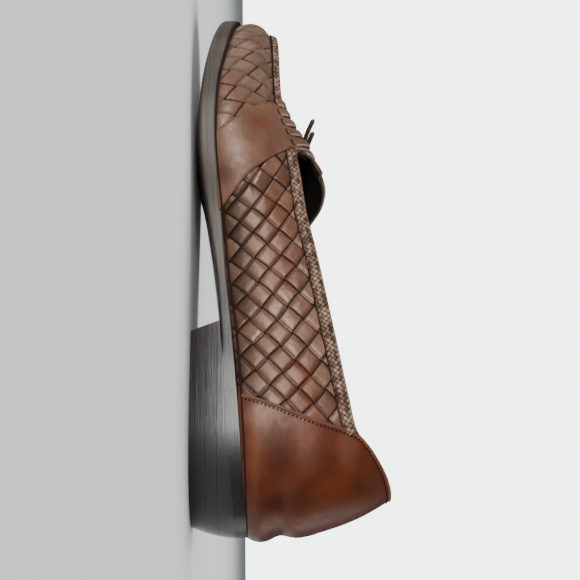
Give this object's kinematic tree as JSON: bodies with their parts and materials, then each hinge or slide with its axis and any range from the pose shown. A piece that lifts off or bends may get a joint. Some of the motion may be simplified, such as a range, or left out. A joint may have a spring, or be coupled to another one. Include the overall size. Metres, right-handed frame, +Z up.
{
  "type": "tassel loafer",
  "caption": "Right-foot woven leather tassel loafer on a stacked heel, with a smooth instep strap and heel counter, a plaited collar edge and a raised seam round the toe plug",
  "frame": {"origin": "on the floor, under the middle of the whole shoe's box", "axes": "+X towards the toe, +Y towards the inner (medial) side of the foot, +Z up"},
  "size_m": [0.2988, 0.1033, 0.0982],
  "materials": {
    "sole_leather": "waxed sole edge",
    "heel_leather": "polished heel stack",
    "lining_leather": "matt",
    "woven_leather": "burnished",
    "strap_leather": "burnished",
    "counter_leather": "polished",
    "braid_leather": "semi-matt",
    "tassel_leather": "semi-matt"
  },
  "bodies": {
    "root": {"outsole": "sole_leather", "welt": "sole_leather", "heel_top_lift": "heel_leather", "heel_lift_lower": "heel_leather", "heel_lift_upper": "heel_leather", "heel_wedge": "heel_leather", "insole": "lining_leather", "upper": "woven_leather", "saddle_strap": "strap_leather", "heel_counter": "counter_leather", "collar_braid_medial": "braid_leather", "collar_braid_lateral": "braid_leather", "apron_seam": "braid_leather", "tassel_knot": "tassel_leather", "tassel_front": "tassel_leather", "tassel_rear": "tassel_leather"}
  },
  "joints": []
}
